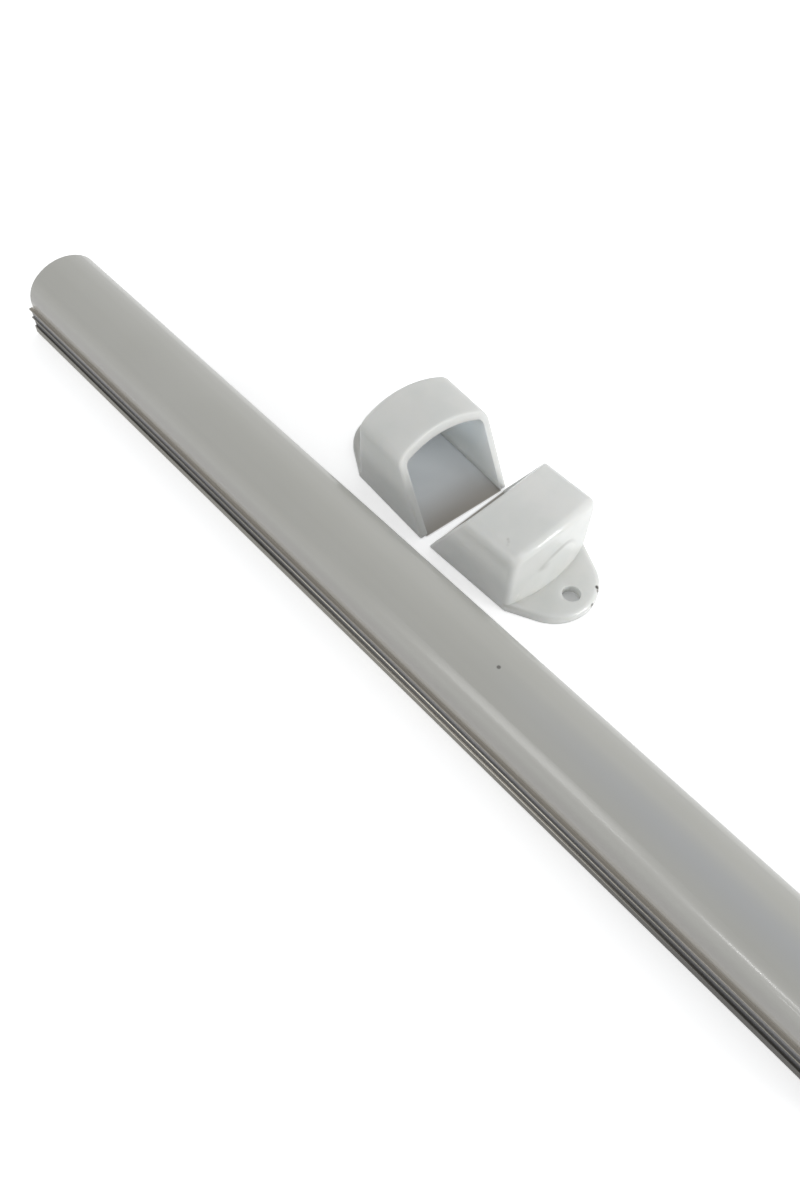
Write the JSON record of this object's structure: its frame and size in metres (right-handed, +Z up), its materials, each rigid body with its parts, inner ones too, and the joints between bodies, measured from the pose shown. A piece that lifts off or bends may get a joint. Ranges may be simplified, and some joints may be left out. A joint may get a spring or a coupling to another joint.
{
  "type": "led strip aluminium profile",
  "caption": "Slim surface-mount aluminium channel for an LED strip, with a domed opal diffuser that slides in its tracks and moulded end caps lying beside it.",
  "frame": {"origin": "middle of the channel's flat base, which is the face that is fastened down", "axes": "+X along the profile, +Y across it towards the two caps, +Z up from the base through the crown of the diffuser"},
  "size_m": [0.2, 0.0448, 0.016],
  "materials": {
    "anodised_aluminium": "satin anodised extrusion, fine drawn lines along its length, bright rib edges",
    "opal_plastic": "opal, smooth, slightly glossy extruded plastic",
    "white_plastic": "white moulded plastic, soft gloss, faint soiling"
  },
  "bodies": {
    "channel": {"aluminium_channel": "anodised_aluminium", "end_cap_left": "white_plastic", "end_cap_right": "white_plastic"},
    "diffuser": {"opal_diffuser": "opal_plastic"}
  },
  "joints": [
    {"name": "diffuser_slide", "type": "slide", "parent": "channel", "child": "diffuser", "axis": [1, 0, 0], "range_m": [-0.18, 0.18]}
  ]
}
